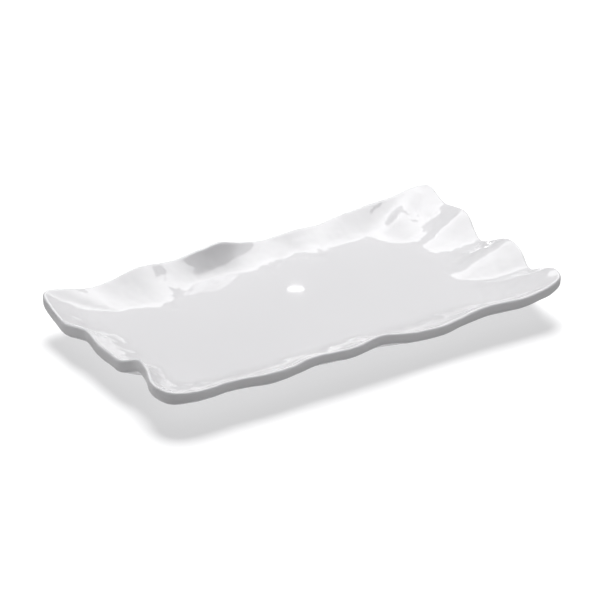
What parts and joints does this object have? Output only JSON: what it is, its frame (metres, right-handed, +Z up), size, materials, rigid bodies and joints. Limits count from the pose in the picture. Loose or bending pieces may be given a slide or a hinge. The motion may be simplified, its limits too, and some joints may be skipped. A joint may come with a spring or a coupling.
{
  "type": "ceramic serving platter",
  "caption": "Rectangular white serving platter with a flat well, an irregular ruffled rim with a thick rounded edge, and a recessed foot ring.",
  "frame": {"origin": "on the table plane under the middle of the platter's overall box", "axes": "+X along the long side, +Y along the short side from the front to the back, +Z up out of the well"},
  "size_m": [0.4732, 0.2624, 0.0412],
  "materials": {
    "glazed_china": "gloss",
    "bare_china": "matte"
  },
  "bodies": {
    "root": {"platter_body": "glazed_china", "foot_ring": "bare_china", "support_rail_left": "bare_china", "support_rail_right": "bare_china"}
  },
  "joints": []
}
